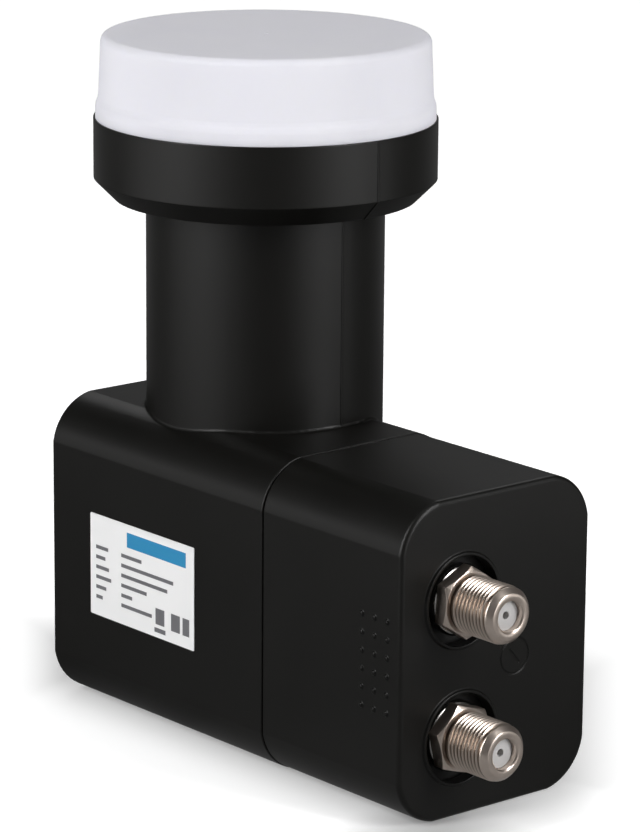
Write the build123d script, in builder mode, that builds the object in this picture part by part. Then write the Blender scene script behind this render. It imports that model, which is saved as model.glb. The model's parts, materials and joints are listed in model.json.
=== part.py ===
"""Twin-output satellite LNB: feed horn, die-cast chassis, moulded housing and sliding weather cover.

Millimetres. +Z runs up the feed axis, +X points out of the two outlets, and the rating label
is on the -Y side. The origin lies on the feed axis, in the plane that the housing stands on.
"""
import os
from math import radians, tan

from build123d import *

# Outer form
neck_diameter = 40.0
neck_length = 36.05
neck_wall = 2.0
neck_foot_fillet = 0.5
parting_ridge_width = 0.35
parting_ridge_height = 0.08
flange_diameter = 57.4
flange_side = 10.05
flange_chamfer = 3.3
flange_rim_wall = 2.2
flange_floor_thickness = 2.0
body_width = 40.3
body_height = 52.9
body_back_reach = 26.7
housing_front_reach = 30.2
corner_radius = 9.4
corner_reach = 7.8
crease_radius = 1.5
edge_fillet = 0.8
seam_fillet = 0.2
back_wall = 2.0
neck_root_depth = 7.0

# Sliding weather cover
cover_length = 33.75
cover_wall = 1.8
cover_inset = 0.15
cover_travel = 21.0
seam_gap = 0.15
slide_gap = 0.3
spigot_wall = 1.7
stop_rib_length = 2.5
stop_rib_width = 6.0
stop_rib_reach = 0.6
stop_rib_setback = 1.0
stop_gap = 0.3
groove_depth = 0.85
outlet_hole_diameter = 14.7
outlet_rim_width = 0.65
outlet_rim_height = 0.4
outlet_rim_taper = 30.0
grip_dot_pitch = 3.0
grip_dot_diameter = 1.1
grip_dot_height = 0.3
grip_dot_taper = 35.0
grip_dot_columns = 3
grip_dot_rows = 6
grip_dot_setback = 6.2
mould_mark_diameter = 6.2
mould_mark_width = 0.3
mould_mark_depth = 0.1
mould_mark_offset = 0.9
mould_pointer_length = 3.4
mould_pointer_turn = 40.0

# Feed horn and its cap
waveguide_bore = 17.5
horn_tube_wall = 1.1
horn_collar_wall = 2.3
horn_socket_depth = 8.0
horn_throat_height = 14.0
horn_wall = 1.4
horn_aperture = 32.0
horn_disc_thickness = 1.6
ring_wall = 1.2
ring_count = 2
ring_height = 7.0
horn_seal_thickness = 0.8
horn_seal_width = 4.0
horn_gap = 0.3
cap_top_rise = 13.85
cap_brim_setback = 0.35
cap_brim_height = 2.3
cap_shoulder_step = 0.45
cap_shoulder_height = 1.1
cap_shoulder_round = 2.0
cap_side_draft = 0.5
cap_top_round = 1.2
cap_ceiling = 1.5
cap_plug_wall = 1.2
cap_plug_gap = 0.1
cap_seal_thickness = 1.2
gate_nub_diameter = 0.7
gate_nub_height = 0.12
gate_nub_taper = 20.0

# Die-cast chassis
socket_clearance = 0.05
socket_wall = 1.15
chassis_gap = 0.3
chassis_floor = 2.0
tray_wall = 2.2
tray_depth = 5.5
waveguide_short = 2.5
front_plate_thickness = 2.5
front_end_wall = 2.0
front_gasket_thickness = 0.8
end_clearance = 0.9
seat_radius = 5.5
upper_seat_height = 1.15
lower_seat_height = 0.5
rib_wall = 1.6
boss_excess = 0.6
isolation_bar_diameter = 1.8
isolation_bar_root = 0.6

# Circuit board and shield
board_thickness = 1.0
board_edge_gap = 0.6
board_screw_inset = 9.0
standoff_radius = 2.3
m2_radius = 1.0
m2_head_radius = 1.8
m2_head_height = 0.9
m2_length = 4.0
lid_thickness = 1.2
lid_edge_gap = 0.6
lid_boss_radius = 2.6
lid_screw_inset = 4.2
m25_radius = 1.25
m25_head_radius = 2.1
m25_head_height = 1.0
m25_length = 5.5
screw_clearance = 0.05
mixer_chip_side = 7.0
mixer_chip_height = 0.9
mixer_chip_corner = 0.2
crystal_length = 3.2
crystal_width = 2.5
crystal_height = 0.8
crystal_corner = 0.4
crystal_gap = 1.6
regulator_length = 6.5
regulator_width = 6.0
regulator_height = 2.0
regulator_spacing = 12.0
regulator_gap = 1.0
probe_radius = 0.6
probe_bush_radius = 2.0
probe_reach = 5.5
probe_spacing = 12.0
probe_bend = 4.0
probe_bend_radius = 1.2
probe_solder = 0.4

# F outlets
outlet_spacing = 22.6
outlet_drop = 1.95
outlet_floor_offset = 1.19
thread_radius = 4.76
barrel_length = 9.2
barrel_chamfer = 0.9
hex_across_flats = 10.4
hex_height = 2.45
hex_chamfer_angle = 30.0
upper_hex_turn = 26.0
lower_hex_turn = 43.0
washer_outer_radius = 5.85
washer_thickness = 1.2
washer_chamfer = 0.35
stub_radius = 4.0
shell_bore_radius = 2.5
mouth_chamfer = 0.25
insulator_recess = 1.2
insulator_entry_radius = 0.65
insulator_nose = 1.5
contact_radius = 1.1
contact_bore_radius = 0.55
contact_bore_depth = 8.0
outlet_pin_radius = 0.4
outlet_pin_overlap = 4.0
outlet_fit = 0.05

# Rating label
label_length = 28.3
label_height = 17.75
label_thickness = 0.12
label_corner = 0.25
label_middle_x = -1.4
label_drop = 0.3

# Radii and heights about the feed axis
neck_radius = neck_diameter / 2
neck_bore = neck_radius - neck_wall
flange_radius = flange_diameter / 2
mouth_bore = flange_radius - flange_rim_wall
cap_plug = mouth_bore - cap_plug_gap
cap_inner = cap_plug - cap_plug_wall
waveguide_radius = waveguide_bore / 2
flange_under = body_height + neck_length
flange_floor = flange_under + flange_floor_thickness
flange_top = flange_under + flange_chamfer + flange_side
cap_top = flange_top + cap_top_rise

# The housing, spigot and chassis sections lie inside one another
shell_depth = cover_wall + slide_gap + spigot_wall
socket_radius = waveguide_radius + horn_tube_wall + socket_clearance
waveguide_outer = socket_radius + socket_wall
far_side = waveguide_outer + chassis_gap + shell_depth
near_side = far_side - body_width
middle_y = (far_side + near_side) / 2
middle_z = body_height / 2
spigot_inset = cover_wall + slide_gap
chassis_inset = shell_depth + chassis_gap
chassis_low = chassis_inset
chassis_high = body_height - chassis_inset
cavity_high = body_height - shell_depth

# Stations along the outlets
back_x = -body_back_reach
cavity_back = back_x + back_wall
chassis_back = cavity_back + chassis_gap
seam_x = housing_front_reach
cover_back = seam_x + seam_gap
cover_front = cover_back + cover_length
plate_front = cover_front - cover_wall - end_clearance
plate_back = plate_front - front_plate_thickness
spigot_front = plate_back - front_gasket_thickness
tray_front = plate_back - front_end_wall
tray_back = chassis_back + tray_wall
tray_low = chassis_low + tray_wall
tray_high = chassis_high - tray_wall

# Layers across the chassis, from the waveguide to the shield
floor_near = -waveguide_outer
floor_far = floor_near + chassis_floor
tray_rim = floor_near - tray_depth
outlet_y = floor_near - outlet_floor_offset
board_far = outlet_y - outlet_pin_radius - outlet_fit
board_near = board_far - board_thickness
lid_near = tray_rim - lid_thickness

# Outlet, probe and screw places
outlet_middle_z = middle_z - outlet_drop
outlet_heights = {
    "upper": outlet_middle_z + outlet_spacing / 2,
    "lower": outlet_middle_z - outlet_spacing / 2,
}
hex_turns = {"upper": upper_hex_turn, "lower": lower_hex_turn}
seat_fronts = {"upper": plate_front + upper_seat_height, "lower": plate_front + lower_seat_height}
probe_end_y = -waveguide_radius + probe_reach
vertical_probe_z = middle_z + probe_spacing / 2
horizontal_probe_z = middle_z - probe_spacing / 2
tray_middle_x = (tray_back + tray_front) / 2
lid_screw_places = [
    (x, z)
    for x in (chassis_back + lid_screw_inset, tray_middle_x, tray_front - lid_screw_inset)
    for z in (chassis_low + lid_screw_inset, chassis_high - lid_screw_inset)
]
board_screw_places = [
    (x, z)
    for x in (tray_back + board_screw_inset, tray_front - board_screw_inset)
    for z in (tray_low + board_screw_inset, tray_high - board_screw_inset)
]


def section_plane(x):
    """Plane across the outlets' direction, centred on the body's section."""
    return Plane(origin=(x, middle_y, middle_z), x_dir=(0, 1, 0), z_dir=(1, 0, 0))


def outlet_plane(x, z):
    """Plane across one outlet's axis."""
    return Plane(origin=(x, outlet_y, z), x_dir=(0, 1, 0), z_dir=(1, 0, 0))


def side_plane(y):
    """Plane along the label side that looks towards +Y, in X and Z."""
    return Plane(origin=(0, y, 0), x_dir=(1, 0, 0), z_dir=(0, -1, 0))


def nested_section(inset):
    """The body's rounded section, taken in by a wall or gap."""
    RectangleRounded(body_width - 2 * inset, body_height - 2 * inset, corner_radius - inset)


def corner_arcs(inset):
    """Start, middle and end of each corner's arc, which meets both sides at a slight crease."""
    reach = corner_reach - inset
    radius = corner_radius - inset
    to_centre = (reach + (2 * radius**2 - reach**2) ** 0.5) / 2
    cut = to_centre - radius / 2**0.5
    across = body_width / 2 - inset
    up = body_height / 2 - inset
    arcs = []
    for side, end in ((1, 1), (-1, 1), (-1, -1), (1, -1)):
        on_side = (side * across, end * (up - reach))
        middle = (side * (across - cut), end * (up - cut))
        on_end = (side * (across - reach), end * up)
        arcs.append((on_side, middle, on_end) if side == end else (on_end, middle, on_side))
    return arcs


def ring_section(inner, outer, low, high):
    """A rectangle to be turned about the feed axis."""
    with Locations(((inner + outer) / 2, (low + high) / 2)):
        Rectangle(outer - inner, high - low)


def on_neck(edge):
    """Whether an edge runs round the neck's outside."""
    middle = edge @ 0.5
    return abs((middle.X**2 + middle.Y**2) ** 0.5 - neck_radius) < parting_ridge_height


def neck_outline(grown):
    """Corners of the neck's and flange's half outline, moved out by grown."""
    return [
        (0, neck_root - root_cone),
        (neck_radius - root_cone + grown, neck_root - root_cone),
        (neck_radius + grown, neck_root),
        (neck_radius + grown, flange_under - grown),
        (flange_radius - flange_chamfer + grown, flange_under - grown),
        (flange_radius + grown, flange_under + flange_chamfer - grown),
        (flange_radius + grown, flange_top),
        (0, flange_top),
    ]


pieces = {}

# Housing: box with rounded long edges, neck and feed flange in one moulding
neck_root = body_height - neck_root_depth
root_cone = neck_radius - far_side + edge_fillet
groove_start = cover_back + stop_rib_setback - stop_gap
groove_length = stop_rib_length + cover_travel + 2 * stop_gap
with BuildPart() as housing:
    with BuildSketch(section_plane(back_x)) as section:
        with BuildLine():
            arcs = corner_arcs(0)
            for arc, following in zip(arcs, arcs[1:] + arcs[:1]):
                ThreePointArc(*arc)
                Line(arc[-1], following[0])
        make_face()
        fillet(section.vertices(), crease_radius)
    extrude(amount=seam_x - back_x)
    fillet(housing.faces().sort_by(Axis.X)[0].edges(), edge_fillet)
    with BuildSketch(Plane.XZ):
        with BuildLine():
            Polyline(*neck_outline(0), close=True)
        make_face()
    revolve(axis=Axis.Z)
    neck_foot = housing.edges().filter_by_position(Axis.Z, neck_root + neck_foot_fillet, body_height)
    fillet([edge for edge in neck_foot if on_neck(edge)], neck_foot_fillet)
    fillet(housing.faces().sort_by(Axis.X)[-1].edges(), seam_fillet)
    with BuildSketch(Plane.XZ.offset(-parting_ridge_width / 2)):
        with BuildLine():
            Polyline(*neck_outline(parting_ridge_height), close=True)
        make_face()
        mirror(about=Plane.YZ)
    extrude(amount=parting_ridge_width)
    with BuildSketch(section_plane(seam_x)):
        nested_section(spigot_inset)
    extrude(amount=spigot_front - seam_x)
    with BuildSketch(section_plane(cavity_back)):
        nested_section(shell_depth)
    extrude(amount=spigot_front - cavity_back, mode=Mode.SUBTRACT)
    with BuildSketch(Plane.XZ):
        ring_section(0, waveguide_outer + chassis_gap, chassis_high - horn_socket_depth, cavity_high)
        ring_section(0, neck_bore, chassis_high, flange_floor)
        ring_section(0, mouth_bore, flange_floor, flange_top)
    revolve(axis=Axis.Z, mode=Mode.SUBTRACT)
    for wall_y, outward in ((near_side + spigot_inset, 1), (far_side - spigot_inset, -1)):
        with BuildSketch(side_plane(wall_y)):
            with Locations((groove_start + groove_length / 2, middle_z)):
                Rectangle(groove_length, stop_rib_width + 2 * stop_gap)
        extrude(amount=-outward * groove_depth, mode=Mode.SUBTRACT)
pieces["housing"] = housing

# Weather cover: sleeve that slides out over the fitted cable plugs
with BuildPart() as weather_cover:
    with BuildSketch(section_plane(cover_back)) as section:
        with BuildLine():
            arcs = corner_arcs(cover_inset)
            for arc, following in zip(arcs, arcs[1:] + arcs[:1]):
                ThreePointArc(*arc)
                Line(arc[-1], following[0])
        make_face()
        fillet(section.vertices(), crease_radius)
    extrude(amount=cover_length)
    fillet(weather_cover.faces().sort_by(Axis.X)[-1].edges(), edge_fillet)
    fillet(weather_cover.faces().sort_by(Axis.X)[0].edges(), seam_fillet)
    with BuildSketch(section_plane(cover_back)):
        nested_section(cover_wall)
    extrude(amount=cover_length - cover_wall, mode=Mode.SUBTRACT)
    rim_radius = outlet_hole_diameter / 2 + outlet_rim_width
    for z in outlet_heights.values():
        with BuildSketch(outlet_plane(cover_front, z)):
            Circle(rim_radius)
        extrude(amount=outlet_rim_height, taper=outlet_rim_taper)
    for z in outlet_heights.values():
        with BuildSketch(outlet_plane(cover_front - cover_wall, z)):
            Circle(outlet_hole_diameter / 2)
        extrude(amount=cover_wall + outlet_rim_height, mode=Mode.SUBTRACT)
    mark_middle = (cover_front, -mould_mark_offset, outlet_middle_z)
    with BuildSketch(Plane(origin=mark_middle, x_dir=(0, 1, 0), z_dir=(1, 0, 0))):
        Circle(mould_mark_diameter / 2)
        Circle(mould_mark_diameter / 2 - mould_mark_width, mode=Mode.SUBTRACT)
        Rectangle(mould_mark_width, mould_pointer_length, rotation=mould_pointer_turn)
    extrude(amount=-mould_mark_depth, mode=Mode.SUBTRACT)
    rib_middle_x = cover_back + stop_rib_setback + stop_rib_length / 2
    rib_height = slide_gap + stop_rib_reach
    for wall_y, inward in ((near_side + cover_wall, 1), (far_side - cover_wall, -1)):
        with BuildSketch(side_plane(wall_y)):
            with Locations((rib_middle_x, middle_z)):
                Rectangle(stop_rib_length, stop_rib_width)
        extrude(amount=-inward * rib_height)
    dots_middle_x = cover_front - grip_dot_setback
    for wall_y, outward in ((near_side + cover_inset, 1), (far_side - cover_inset, -1)):
        with BuildSketch(side_plane(wall_y)):
            with Locations((dots_middle_x, middle_z)):
                with GridLocations(grip_dot_pitch, grip_dot_pitch, grip_dot_columns, grip_dot_rows):
                    Circle(grip_dot_diameter / 2)
        extrude(amount=outward * grip_dot_height, taper=grip_dot_taper)
pieces["weather_cover"] = weather_cover

# Feed horn: tube pressed into the chassis, flare, and a corrugated mouth
tube_radius = waveguide_radius + horn_tube_wall
collar_radius = waveguide_radius + horn_collar_wall
aperture_radius = horn_aperture / 2
throat_z = body_height + horn_throat_height
disc_under = flange_floor + horn_seal_thickness
disc_top = disc_under + horn_disc_thickness
disc_radius = mouth_bore - horn_gap
ring_top = disc_top + ring_height
ring_pitch = (cap_inner - horn_gap - ring_wall - aperture_radius) / ring_count
with BuildPart() as feed_horn:
    with BuildSketch(Plane.XZ):
        with BuildLine():
            Polyline(
                (waveguide_radius, chassis_high - horn_socket_depth),
                (tube_radius, chassis_high - horn_socket_depth),
                (tube_radius, chassis_high),
                (collar_radius, chassis_high),
                (collar_radius, throat_z),
                (aperture_radius + horn_wall, disc_under),
                (disc_radius, disc_under),
                (disc_radius, disc_top),
                (aperture_radius + ring_wall, disc_top),
                (aperture_radius + ring_wall, ring_top),
                (aperture_radius, ring_top),
                (aperture_radius, disc_top),
                (waveguide_radius, throat_z),
                close=True,
            )
        make_face()
        for ring in range(ring_count):
            inner = aperture_radius + (ring + 1) * ring_pitch
            ring_section(inner, inner + ring_wall, disc_top, ring_top)
    revolve(axis=Axis.Z)
pieces["feed_horn"] = feed_horn

# Flat seal between the horn's disc and the flange's floor
with BuildPart() as horn_seal:
    with BuildSketch(Plane.XZ):
        ring_section(disc_radius - horn_seal_width, disc_radius, flange_floor, disc_under)
    revolve(axis=Axis.Z)
pieces["horn_seal"] = horn_seal

# Feed cap: milky plastic cup with a plug skirt inside the flange's rim
cap_plug_low = disc_top + cap_seal_thickness
cap_brim = flange_radius - cap_brim_setback
cap_side = cap_brim - cap_shoulder_step
with BuildPart() as feed_cap:
    with BuildSketch(Plane.XZ):
        with BuildLine():
            Polyline(
                (0, cap_top - cap_ceiling),
                (cap_inner, cap_top - cap_ceiling),
                (cap_inner, cap_plug_low),
                (cap_plug, cap_plug_low),
                (cap_plug, flange_top),
                (cap_brim, flange_top),
                (cap_brim, flange_top + cap_brim_height),
                (cap_side, flange_top + cap_brim_height + cap_shoulder_height),
                (cap_side - cap_side_draft, cap_top),
                (0, cap_top),
                close=True,
            )
        make_face()
    revolve(axis=Axis.Z)
    shoulder_from = flange_top + cap_brim_height / 2
    shoulder_to = flange_top + cap_brim_height + 2 * cap_shoulder_height
    cap_circles = feed_cap.edges().filter_by(GeomType.CIRCLE)
    fillet(cap_circles.filter_by_position(Axis.Z, shoulder_from, shoulder_to), cap_shoulder_round)
    fillet(feed_cap.faces().sort_by(Axis.Z)[-1].edges(), cap_top_round)
    with BuildSketch(Plane.XY.offset(cap_top)):
        Circle(gate_nub_diameter / 2)
    extrude(amount=gate_nub_height, taper=gate_nub_taper)
pieces["feed_cap"] = feed_cap

# Ring seal under the cap's plug skirt
with BuildPart() as cap_seal:
    with BuildSketch(Plane.XZ):
        ring_section(cap_inner, cap_plug, disc_top, cap_plug_low)
    revolve(axis=Axis.Z)
pieces["cap_seal"] = cap_seal

# Chassis: die-cast tray with the waveguide behind its floor and a sealing plate at the outlets
chassis_length = plate_back - chassis_back
chassis_middle_x = (chassis_back + plate_back) / 2
rib_places = (chassis_back + rib_wall / 2, tray_middle_x + lid_boss_radius, plate_back - rib_wall / 2)
with BuildPart() as chassis:
    with BuildSketch(section_plane(chassis_back)):
        nested_section(chassis_inset)
    extrude(amount=chassis_length)
    with BuildSketch(Plane.XY.offset(chassis_low)):
        with Locations((chassis_middle_x, (floor_far + far_side) / 2)):
            Rectangle(chassis_length, far_side - floor_far)
        Circle(waveguide_outer + boss_excess, mode=Mode.SUBTRACT)
        for rib_x in rib_places:
            with Locations((rib_x, (floor_far + far_side) / 2)):
                Rectangle(rib_wall, far_side - floor_far, mode=Mode.SUBTRACT)
    extrude(amount=chassis_high - chassis_low, mode=Mode.SUBTRACT)
    with BuildSketch(side_plane(tray_rim)):
        with Locations((chassis_middle_x, middle_z)):
            Rectangle(chassis_length, body_height)
    extrude(amount=tray_rim - near_side, mode=Mode.SUBTRACT)
    with BuildSketch(side_plane(floor_near)):
        with Locations((tray_middle_x, middle_z)):
            Rectangle(tray_front - tray_back, tray_high - tray_low)
        with Locations(*lid_screw_places):
            Circle(lid_boss_radius, mode=Mode.SUBTRACT)
    extrude(amount=tray_depth, mode=Mode.SUBTRACT)
    with BuildSketch(side_plane(floor_near)):
        with Locations(*board_screw_places):
            Circle(standoff_radius)
    extrude(amount=floor_near - board_far)
    with BuildSketch(section_plane(plate_back)):
        nested_section(spigot_inset)
    extrude(amount=front_plate_thickness)
    with BuildSketch(Plane.XY.offset(chassis_low + waveguide_short)):
        Circle(waveguide_radius)
    extrude(amount=chassis_high - chassis_low - waveguide_short, mode=Mode.SUBTRACT)
    with BuildSketch(Plane.XY.offset(chassis_high - horn_socket_depth)):
        Circle(socket_radius)
    extrude(amount=horn_socket_depth, mode=Mode.SUBTRACT)
    with BuildSketch(Plane.YZ):
        with Locations((0, middle_z)):
            Circle(isolation_bar_diameter / 2)
    extrude(amount=waveguide_radius + isolation_bar_root, both=True)
    for name, z in outlet_heights.items():
        with BuildSketch(outlet_plane(plate_front, z)):
            Circle(seat_radius)
        extrude(amount=seat_fronts[name] - plate_front)
        with BuildSketch(outlet_plane(tray_front, z)):
            Circle(stub_radius + outlet_fit)
        extrude(amount=seat_fronts[name] - tray_front, mode=Mode.SUBTRACT)
    with BuildSketch(side_plane(probe_end_y)):
        with Locations((0, vertical_probe_z), (0, horizontal_probe_z)):
            Circle(probe_bush_radius + outlet_fit)
    extrude(amount=probe_end_y - floor_near, mode=Mode.SUBTRACT)
    with BuildSketch(side_plane(tray_rim)):
        with Locations(*lid_screw_places):
            Circle(m25_radius + screw_clearance)
    extrude(amount=-(m25_length - lid_thickness + screw_clearance), mode=Mode.SUBTRACT)
    with BuildSketch(side_plane(board_far)):
        with Locations(*board_screw_places):
            Circle(m2_radius + screw_clearance)
    extrude(amount=-(m2_length - board_thickness + screw_clearance), mode=Mode.SUBTRACT)
pieces["chassis"] = chassis

# Gasket between the housing's spigot and the chassis plate
with BuildPart() as front_gasket:
    with BuildSketch(section_plane(spigot_front)):
        nested_section(spigot_inset)
        RectangleRounded(
            body_width - 2 * shell_depth,
            body_height - 2 * shell_depth,
            corner_radius - shell_depth,
            mode=Mode.SUBTRACT,
        )
    extrude(amount=front_gasket_thickness)
pieces["front_gasket"] = front_gasket

# Circuit board, notched round the shield's screw bosses
with BuildPart() as circuit_board:
    with BuildSketch(side_plane(board_far)):
        with Locations((tray_middle_x, middle_z)):
            Rectangle(tray_front - tray_back - 2 * board_edge_gap, tray_high - tray_low - 2 * board_edge_gap)
        with Locations(*lid_screw_places):
            Circle(lid_boss_radius + board_edge_gap, mode=Mode.SUBTRACT)
        with Locations(*board_screw_places):
            Circle(m2_radius + screw_clearance, mode=Mode.SUBTRACT)
        with Locations((0, vertical_probe_z), (0, horizontal_probe_z)):
            Circle(probe_radius + outlet_fit, mode=Mode.SUBTRACT)
    extrude(amount=board_thickness)
pieces["circuit_board"] = circuit_board

# Parts soldered to the board's outer face
chip_x = waveguide_outer + mixer_chip_side
with BuildPart() as mixer_chip:
    with BuildSketch(side_plane(board_near)):
        with Locations((chip_x, middle_z)):
            RectangleRounded(mixer_chip_side, mixer_chip_side, mixer_chip_corner)
    extrude(amount=mixer_chip_height)
pieces["mixer_chip"] = mixer_chip

crystal_x = chip_x + mixer_chip_side / 2 + crystal_gap + crystal_length / 2
with BuildPart() as crystal:
    with BuildSketch(side_plane(board_near)):
        with Locations((crystal_x, middle_z)):
            RectangleRounded(crystal_length, crystal_width, crystal_corner)
    extrude(amount=crystal_height)
pieces["crystal"] = crystal

screw_head_back = tray_front - board_screw_inset - m2_head_radius
regulator_x = screw_head_back - regulator_gap - regulator_length / 2
with BuildPart() as regulators:
    with BuildSketch(side_plane(board_near)):
        with Locations((regulator_x, middle_z)):
            with GridLocations(regulator_length, regulator_spacing, 1, 2):
                Rectangle(regulator_length, regulator_width)
    extrude(amount=regulator_height)
pieces["regulators"] = regulators

with BuildPart() as board_screws:
    with BuildSketch(side_plane(board_near)):
        with Locations(*board_screw_places):
            Circle(m2_head_radius)
    extrude(amount=m2_head_height)
    with BuildSketch(side_plane(board_near)):
        with Locations(*board_screw_places):
            Circle(m2_radius)
    extrude(amount=-m2_length)
pieces["board_screws"] = board_screws

# Shield lid over the tray, with its screws
lid_length = tray_front - tray_back + 2 * tray_wall - 2 * lid_edge_gap
with BuildPart() as shield_lid:
    with BuildSketch(side_plane(tray_rim)):
        with Locations((tray_middle_x, middle_z)):
            RectangleRounded(lid_length, chassis_high - chassis_low - 2 * lid_edge_gap, lid_boss_radius)
        with Locations(*lid_screw_places):
            Circle(m25_radius + screw_clearance, mode=Mode.SUBTRACT)
    extrude(amount=lid_thickness)
pieces["shield_lid"] = shield_lid

with BuildPart() as lid_screws:
    with BuildSketch(side_plane(lid_near)):
        with Locations(*lid_screw_places):
            Circle(m25_head_radius)
    extrude(amount=m25_head_height)
    with BuildSketch(side_plane(lid_near)):
        with Locations(*lid_screw_places):
            Circle(m25_radius)
    extrude(amount=-m25_length)
pieces["lid_screws"] = lid_screws

# Two probes that pick the two polarisations out of the waveguide, in their bushes
with BuildPart() as probe_bushes:
    with BuildSketch(side_plane(floor_near)):
        with Locations((0, vertical_probe_z), (0, horizontal_probe_z)):
            Circle(probe_bush_radius)
            Circle(probe_radius + outlet_fit, mode=Mode.SUBTRACT)
    extrude(amount=-(waveguide_outer - waveguide_radius))
pieces["probe_bushes"] = probe_bushes

probe_start_y = board_near - probe_solder
with BuildPart() as vertical_probe:
    with BuildSketch(side_plane(probe_start_y)):
        with Locations((0, vertical_probe_z)):
            Circle(probe_radius)
    extrude(amount=-(probe_end_y - probe_start_y))
pieces["vertical_probe"] = vertical_probe

with BuildPart() as horizontal_probe:
    with BuildLine() as probe_path:
        FilletPolyline(
            (0, probe_start_y, horizontal_probe_z),
            (0, probe_end_y, horizontal_probe_z),
            (probe_bend, probe_end_y, horizontal_probe_z),
            radius=probe_bend_radius,
        )
    with BuildSketch(Plane(origin=(0, probe_start_y, horizontal_probe_z), z_dir=(0, 1, 0))):
        Circle(probe_radius)
    sweep(path=probe_path.line)
pieces["horizontal_probe"] = horizontal_probe

# F outlets: shell with hex, lock washer, insulator and spring contact
insulator_radius = shell_bore_radius - outlet_fit
hex_corner_reach = hex_across_flats / 3**0.5 + outlet_fit
hex_chamfer_depth = (hex_across_flats / 2 - hex_corner_reach) * tan(radians(hex_chamfer_angle))
for name, z in outlet_heights.items():
    washer_front = seat_fronts[name] + washer_thickness
    hex_front = washer_front + hex_height
    barrel_front = hex_front + barrel_length
    insulator_front = barrel_front - insulator_recess
    contact_front = insulator_front - insulator_nose
    with BuildPart() as shell:
        with BuildSketch(outlet_plane(tray_front, z)):
            Circle(stub_radius)
        extrude(amount=washer_front - tray_front)
        with BuildSketch(outlet_plane(washer_front, z)):
            RegularPolygon(hex_across_flats / 2, 6, major_radius=False, rotation=hex_turns[name])
        extrude(amount=hex_height)
        with BuildSketch(Plane(origin=(hex_front, outlet_y, z), x_dir=(1, 0, 0), z_dir=(0, -1, 0))):
            with BuildLine():
                Polyline(
                    (0, hex_across_flats / 2),
                    (0, hex_corner_reach),
                    (hex_chamfer_depth, hex_corner_reach),
                    close=True,
                )
            make_face()
        revolve(axis=Axis((0, outlet_y, z), (1, 0, 0)), mode=Mode.SUBTRACT)
        with BuildSketch(outlet_plane(hex_front, z)):
            Circle(thread_radius)
        extrude(amount=barrel_length)
        chamfer(shell.faces().sort_by(Axis.X)[-1].edges(), barrel_chamfer)
        with BuildSketch(outlet_plane(tray_front, z)):
            Circle(shell_bore_radius)
        extrude(amount=barrel_front - tray_front, mode=Mode.SUBTRACT)
        mouth = shell.faces().sort_by(Axis.X)[-1].inner_wires().edges()
        chamfer(mouth, mouth_chamfer)
    pieces[f"{name}_connector_shell"] = shell

    with BuildPart() as washer:
        with BuildSketch(outlet_plane(seat_fronts[name], z)):
            Circle(washer_outer_radius)
            Circle(stub_radius + outlet_fit, mode=Mode.SUBTRACT)
        extrude(amount=washer_thickness)
        rim = washer.faces().sort_by(Axis.X)[-1].outer_wire().edges()
        chamfer(rim, washer_chamfer)
    pieces[f"{name}_lock_washer"] = washer

    with BuildPart() as insulator:
        with BuildSketch(outlet_plane(tray_front, z)):
            Circle(insulator_radius)
        extrude(amount=insulator_front - tray_front)
        with BuildSketch(outlet_plane(tray_front, z)):
            Circle(contact_radius + outlet_fit)
        extrude(amount=contact_front - tray_front, mode=Mode.SUBTRACT)
        with BuildSketch(outlet_plane(contact_front, z)):
            Circle(insulator_entry_radius)
        extrude(amount=insulator_nose, mode=Mode.SUBTRACT)
    pieces[f"{name}_insulator"] = insulator

    with BuildPart() as contact:
        with BuildSketch(outlet_plane(tray_front, z)):
            Circle(contact_radius)
        extrude(amount=contact_front - tray_front)
        with BuildSketch(outlet_plane(contact_front - contact_bore_depth, z)):
            Circle(contact_bore_radius)
        extrude(amount=contact_bore_depth, mode=Mode.SUBTRACT)
        with BuildSketch(outlet_plane(tray_front - outlet_pin_overlap, z)):
            Circle(outlet_pin_radius)
        extrude(amount=outlet_pin_overlap)
    pieces[f"{name}_contact"] = contact

# Blank rating label on the housing's side
with BuildPart() as rating_label:
    with BuildSketch(side_plane(near_side)):
        with Locations((label_middle_x, middle_z - label_drop)):
            RectangleRounded(label_length, label_height, label_corner)
    extrude(amount=label_thickness)
pieces["rating_label"] = rating_label

os.makedirs("parts", exist_ok=True)
for name, piece in pieces.items():
    piece.part.label = name
    export_step(piece.part, f"parts/{name}.step")
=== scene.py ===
import json
import math

import bmesh
import bpy
from mathutils import Matrix, Vector


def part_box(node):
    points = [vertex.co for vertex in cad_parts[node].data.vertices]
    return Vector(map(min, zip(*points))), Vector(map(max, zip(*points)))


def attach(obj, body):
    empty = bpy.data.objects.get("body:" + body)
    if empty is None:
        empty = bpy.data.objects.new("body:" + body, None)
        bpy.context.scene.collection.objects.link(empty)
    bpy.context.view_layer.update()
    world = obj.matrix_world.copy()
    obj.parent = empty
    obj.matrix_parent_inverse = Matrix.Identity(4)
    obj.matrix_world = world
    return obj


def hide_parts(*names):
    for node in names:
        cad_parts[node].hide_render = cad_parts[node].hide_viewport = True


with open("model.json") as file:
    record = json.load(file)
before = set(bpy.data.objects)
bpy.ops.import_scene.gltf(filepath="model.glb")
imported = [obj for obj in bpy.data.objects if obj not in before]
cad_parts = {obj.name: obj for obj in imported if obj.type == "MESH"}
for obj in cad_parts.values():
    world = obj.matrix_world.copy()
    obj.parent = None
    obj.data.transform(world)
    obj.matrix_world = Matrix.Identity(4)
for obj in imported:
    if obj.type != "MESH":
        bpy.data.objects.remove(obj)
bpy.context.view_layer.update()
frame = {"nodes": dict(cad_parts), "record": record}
nodes = frame["nodes"]
mm = 0.001
print("frame loaded,", len(nodes), "nodes")


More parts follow.
